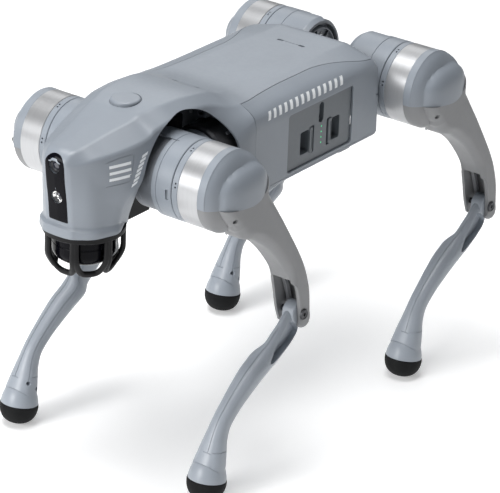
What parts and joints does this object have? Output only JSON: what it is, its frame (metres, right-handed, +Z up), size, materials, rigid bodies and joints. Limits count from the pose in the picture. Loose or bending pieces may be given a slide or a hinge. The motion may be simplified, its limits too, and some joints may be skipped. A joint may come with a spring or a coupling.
{
  "type": "quadruped robot",
  "caption": "Four-legged walking robot with swinging hips, thighs and knees driven by push rods, a slide-out battery and a spinning scanner under the head.",
  "frame": {"origin": "on the ground under the middle of the machine", "axes": "+X forward towards the head, +Y to the left, +Z up"},
  "size_m": [0.6468, 0.3182, 0.4355],
  "materials": {
    "body_cover": "satin, painted",
    "battery_cover": "satin, painted",
    "hip_cover": "painted cast housing, satin",
    "calf_cover": "satin, painted",
    "frame_metal": "anodised dark grey",
    "inner_plastic": "matte",
    "green_light": "light guide",
    "gloss_black": "gloss",
    "lens": "gloss",
    "lamp": "clear lamp lens in a bright ring",
    "black_plastic": "matte",
    "silver_metal": "satin, machined",
    "thigh_grey": "satin, painted",
    "steel": "satin",
    "rubber": "matte"
  },
  "bodies": {
    "trunk": {"trunk_shell": "body_cover", "belly_pan": "body_cover", "main_frame": "frame_metal", "main_computer": "inner_plastic", "head_shell": "body_cover", "head_disc": "body_cover", "camera_window": "gloss_black", "camera_lens": "lens", "headlight": "lamp", "lidar_guard": "black_plastic", "front_left_hip_motor": "frame_metal", "front_right_hip_motor": "frame_metal", "rear_left_hip_motor": "frame_metal", "rear_right_hip_motor": "frame_metal"},
    "battery": {"battery_pack": "battery_cover", "battery_led_strip": "green_light"},
    "latch_front": {"battery_latch_front": "battery_cover"},
    "latch_rear": {"battery_latch_rear": "battery_cover"},
    "power_button": {"power_button": "battery_cover"},
    "lidar_rotor": {"lidar_rotor": "black_plastic"},
    "front_left_hip": {"front_left_hip_housing": "hip_cover"},
    "front_left_thigh": {"front_left_knee_motor": "silver_metal", "front_left_thigh_shell": "thigh_grey", "front_left_thigh_cover": "thigh_grey", "front_left_thigh_cap": "body_cover", "front_left_knee_bolt": "steel"},
    "front_left_crank": {"front_left_knee_crank": "steel"},
    "front_left_rod": {"front_left_push_rod": "steel"},
    "front_left_calf": {"front_left_calf": "calf_cover", "front_left_foot": "rubber"},
    "front_right_hip": {"front_right_hip_housing": "hip_cover"},
    "front_right_thigh": {"front_right_knee_motor": "silver_metal", "front_right_thigh_shell": "thigh_grey", "front_right_thigh_cover": "thigh_grey", "front_right_thigh_cap": "body_cover", "front_right_knee_bolt": "steel"},
    "front_right_crank": {"front_right_knee_crank": "steel"},
    "front_right_rod": {"front_right_push_rod": "steel"},
    "front_right_calf": {"front_right_calf": "calf_cover", "front_right_foot": "rubber"},
    "rear_left_hip": {"rear_left_hip_housing": "hip_cover"},
    "rear_left_thigh": {"rear_left_knee_motor": "silver_metal", "rear_left_thigh_shell": "thigh_grey", "rear_left_thigh_cover": "thigh_grey", "rear_left_thigh_cap": "body_cover", "rear_left_knee_bolt": "steel"},
    "rear_left_crank": {"rear_left_knee_crank": "steel"},
    "rear_left_rod": {"rear_left_push_rod": "steel"},
    "rear_left_calf": {"rear_left_calf": "calf_cover", "rear_left_foot": "rubber"},
    "rear_right_hip": {"rear_right_hip_housing": "hip_cover"},
    "rear_right_thigh": {"rear_right_knee_motor": "silver_metal", "rear_right_thigh_shell": "thigh_grey", "rear_right_thigh_cover": "thigh_grey", "rear_right_thigh_cap": "body_cover", "rear_right_knee_bolt": "steel"},
    "rear_right_crank": {"rear_right_knee_crank": "steel"},
    "rear_right_rod": {"rear_right_push_rod": "steel"},
    "rear_right_calf": {"rear_right_calf": "calf_cover", "rear_right_foot": "rubber"}
  },
  "joints": [
    {"name": "battery_slide", "type": "slide", "parent": "trunk", "child": "battery", "axis": [0, -1, 0], "range_m": [-0.15, 0]},
    {"name": "latch_front_pinch", "type": "slide", "parent": "battery", "child": "latch_front", "axis": [-1, 0, 0], "range_m": [0, 0.003], "stiffness_N_per_m": 300},
    {"name": "latch_rear_pinch", "type": "slide", "parent": "battery", "child": "latch_rear", "axis": [1, 0, 0], "range_m": [0, 0.003], "stiffness_N_per_m": 300},
    {"name": "power_button_press", "type": "slide", "parent": "battery", "child": "power_button", "axis": [0, -1, 0], "range_m": [0, 0.0015], "stiffness_N_per_m": 300},
    {"name": "lidar_spin", "type": "hinge", "parent": "trunk", "child": "lidar_rotor", "pos_m": [0.27446, 0, 0.28791], "axis": [0, 0, 1], "continuous": true},
    {"name": "front_left_hip_swing", "type": "hinge", "parent": "trunk", "child": "front_left_hip", "pos_m": [0.19086, 0.0465, 0.3579], "axis": [1, 0, 0], "range_deg": [-35, 35]},
    {"name": "front_left_thigh_swing", "type": "hinge", "parent": "front_left_hip", "child": "front_left_thigh", "pos_m": [0.19086, 0.088, 0.3579], "axis": [0, 1, 0], "range_deg": [-122, 68]},
    {"name": "front_left_knee_bend", "type": "hinge", "parent": "front_left_thigh", "child": "front_left_calf", "pos_m": [0.07799, 0.142, 0.17727], "axis": [0, 1, 0], "range_deg": [-80.8, 27]},
    {"name": "front_left_crank_turn", "type": "hinge", "parent": "front_left_thigh", "child": "front_left_crank", "pos_m": [0.19086, 0.125, 0.3579], "axis": [0, 1, 0], "range_deg": [-80.8, 27]},
    {"name": "front_left_rod_pivot", "type": "hinge", "parent": "front_left_crank", "child": "front_left_rod", "pos_m": [0.18449, 0.1305, 0.36468], "axis": [0, 1, 0], "range_deg": [-27, 80.8]},
    {"name": "front_right_hip_swing", "type": "hinge", "parent": "trunk", "child": "front_right_hip", "pos_m": [0.19086, -0.0465, 0.3579], "axis": [1, 0, 0], "range_deg": [-35, 35]},
    {"name": "front_right_thigh_swing", "type": "hinge", "parent": "front_right_hip", "child": "front_right_thigh", "pos_m": [0.19086, -0.088, 0.3579], "axis": [0, 1, 0], "range_deg": [-122, 68]},
    {"name": "front_right_knee_bend", "type": "hinge", "parent": "front_right_thigh", "child": "front_right_calf", "pos_m": [0.07799, -0.142, 0.17727], "axis": [0, 1, 0], "range_deg": [-80.8, 27]},
    {"name": "front_right_crank_turn", "type": "hinge", "parent": "front_right_thigh", "child": "front_right_crank", "pos_m": [0.19086, -0.125, 0.3579], "axis": [0, 1, 0], "range_deg": [-80.8, 27]},
    {"name": "front_right_rod_pivot", "type": "hinge", "parent": "front_right_crank", "child": "front_right_rod", "pos_m": [0.18449, -0.1305, 0.36468], "axis": [0, 1, 0], "range_deg": [-27, 80.8]},
    {"name": "rear_left_hip_swing", "type": "hinge", "parent": "trunk", "child": "rear_left_hip", "pos_m": [-0.19594, 0.0465, 0.3579], "axis": [1, 0, 0], "range_deg": [-35, 35]},
    {"name": "rear_left_thigh_swing", "type": "hinge", "parent": "rear_left_hip", "child": "rear_left_thigh", "pos_m": [-0.19594, 0.088, 0.3579], "axis": [0, 1, 0], "range_deg": [-36, 168]},
    {"name": "rear_left_knee_bend", "type": "hinge", "parent": "rear_left_thigh", "child": "rear_left_calf", "pos_m": [-0.30881, 0.142, 0.17727], "axis": [0, 1, 0], "range_deg": [-80.8, 27]},
    {"name": "rear_left_crank_turn", "type": "hinge", "parent": "rear_left_thigh", "child": "rear_left_crank", "pos_m": [-0.19594, 0.125, 0.3579], "axis": [0, 1, 0], "range_deg": [-80.8, 27]},
    {"name": "rear_left_rod_pivot", "type": "hinge", "parent": "rear_left_crank", "child": "rear_left_rod", "pos_m": [-0.20231, 0.1305, 0.36468], "axis": [0, 1, 0], "range_deg": [-27, 80.8]},
    {"name": "rear_right_hip_swing", "type": "hinge", "parent": "trunk", "child": "rear_right_hip", "pos_m": [-0.19594, -0.0465, 0.3579], "axis": [1, 0, 0], "range_deg": [-35, 35]},
    {"name": "rear_right_thigh_swing", "type": "hinge", "parent": "rear_right_hip", "child": "rear_right_thigh", "pos_m": [-0.19594, -0.088, 0.3579], "axis": [0, 1, 0], "range_deg": [-36, 168]},
    {"name": "rear_right_knee_bend", "type": "hinge", "parent": "rear_right_thigh", "child": "rear_right_calf", "pos_m": [-0.30881, -0.142, 0.17727], "axis": [0, 1, 0], "range_deg": [-80.8, 27]},
    {"name": "rear_right_crank_turn", "type": "hinge", "parent": "rear_right_thigh", "child": "rear_right_crank", "pos_m": [-0.19594, -0.125, 0.3579], "axis": [0, 1, 0], "range_deg": [-80.8, 27]},
    {"name": "rear_right_rod_pivot", "type": "hinge", "parent": "rear_right_crank", "child": "rear_right_rod", "pos_m": [-0.20231, -0.1305, 0.36468], "axis": [0, 1, 0], "range_deg": [-27, 80.8]}
  ],
  "couplings": [
    {"joint": "front_left_crank_turn", "follows": "front_left_knee_bend", "ratio": 1},
    {"joint": "front_left_rod_pivot", "follows": "front_left_knee_bend", "ratio": -1},
    {"joint": "front_right_crank_turn", "follows": "front_right_knee_bend", "ratio": 1},
    {"joint": "front_right_rod_pivot", "follows": "front_right_knee_bend", "ratio": -1},
    {"joint": "rear_left_crank_turn", "follows": "rear_left_knee_bend", "ratio": 1},
    {"joint": "rear_left_rod_pivot", "follows": "rear_left_knee_bend", "ratio": -1},
    {"joint": "rear_right_crank_turn", "follows": "rear_right_knee_bend", "ratio": 1},
    {"joint": "rear_right_rod_pivot", "follows": "rear_right_knee_bend", "ratio": -1}
  ]
}
